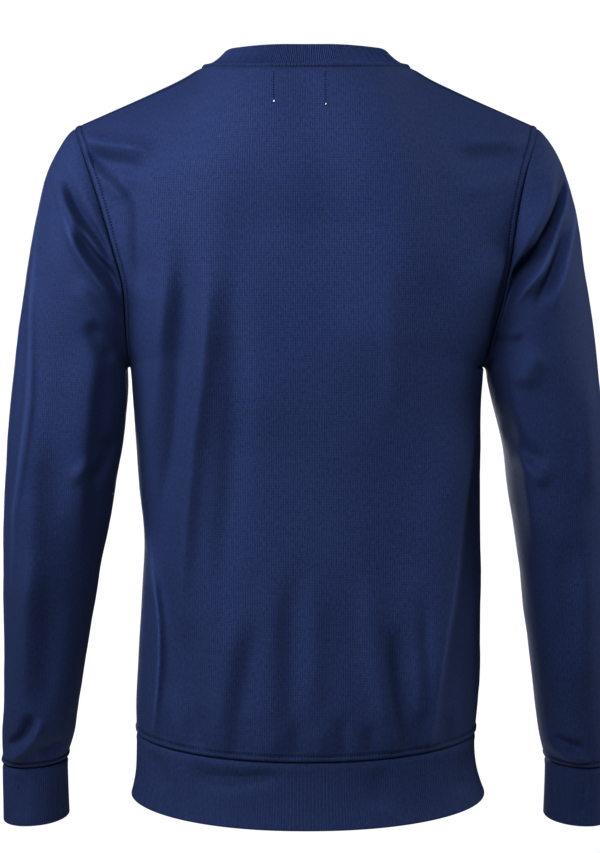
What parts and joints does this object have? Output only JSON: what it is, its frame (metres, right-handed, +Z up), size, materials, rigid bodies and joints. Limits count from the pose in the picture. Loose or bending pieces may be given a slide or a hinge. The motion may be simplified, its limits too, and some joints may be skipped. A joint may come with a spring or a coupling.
{
  "type": "crewneck sweatshirt",
  "caption": "Crewneck sweatshirt in its worn shape, hollow, with a ribbed neckband, hem band and cuffs, sleeves hanging beside the body.",
  "frame": {"origin": "middle of the neck, level with the inner ends of the shoulder seams", "axes": "+Z up the garment, -Y out of its front, +X toward the wearer's left side"},
  "size_m": [0.5902, 0.2351, 0.7406],
  "materials": {
    "jersey": "matte knit with a soft sheen",
    "rib": "matte fine rib knit",
    "thread": "spun sewing thread"
  },
  "bodies": {
    "root": {"back": "jersey", "front": "jersey", "left_sleeve": "jersey", "right_sleeve": "jersey", "neckband": "rib", "hem_band": "rib", "left_cuff": "rib", "right_cuff": "rib"}
  },
  "joints": []
}
